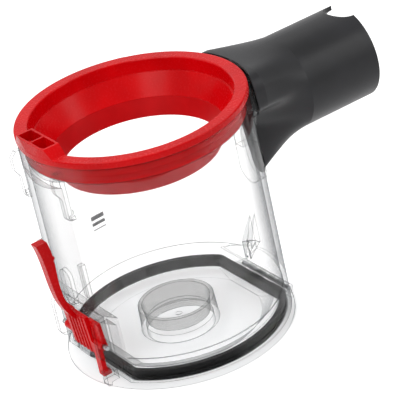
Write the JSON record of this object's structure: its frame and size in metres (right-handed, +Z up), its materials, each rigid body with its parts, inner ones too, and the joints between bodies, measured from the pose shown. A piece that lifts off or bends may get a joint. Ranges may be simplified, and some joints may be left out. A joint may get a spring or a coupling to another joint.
{
  "type": "vacuum cleaner dust bin",
  "caption": "Clear cylindrical cyclone dust bin with a red collar, a side inlet pipe, a hinged base lid with a seal and a sprung release catch.",
  "frame": {"origin": "centre of the base lid's underside, on the axis of the bin", "axes": "+Z up along the bin's axis, +X out of the side inlet pipe, the release catch on -X"},
  "size_m": [0.1907, 0.1134, 0.1261],
  "materials": {
    "clear_plastic": "clear polycarbonate, polished",
    "red_plastic": "gloss red",
    "red_rubber": "matt red",
    "dark_plastic": "satin dark grey",
    "black_rubber": "matt black",
    "steel": "drawn wire",
    "grey_print": "screen print"
  },
  "bodies": {
    "bin": {"bin_body": "clear_plastic", "bin_collar": "red_plastic", "collar_seal": "red_rubber", "shroud_wiper": "red_rubber", "inlet_duct": "dark_plastic", "inlet_gasket": "black_rubber", "hinge_pin": "steel", "catch_pin": "steel", "spring_pin": "steel", "catch_spring": "steel", "fill_level_bars": "grey_print"},
    "lid": {"base_lid": "clear_plastic", "lid_seal": "black_rubber"},
    "catch": {"release_catch": "red_plastic"}
  },
  "joints": [
    {"name": "lid_hinge", "type": "hinge", "parent": "bin", "child": "lid", "pos_m": [0.0522, 0, 0.0026], "axis": [0, -1, 0], "range_deg": [0, 90]},
    {"name": "catch_press", "type": "hinge", "parent": "bin", "child": "catch", "pos_m": [-0.051, 0, 0.02], "axis": [0, 1, 0], "range_deg": [0, 6], "stiffness_Nm_per_rad": 0.35, "springref_deg": -9.74, "deforming": ["catch_spring"]}
  ]
}
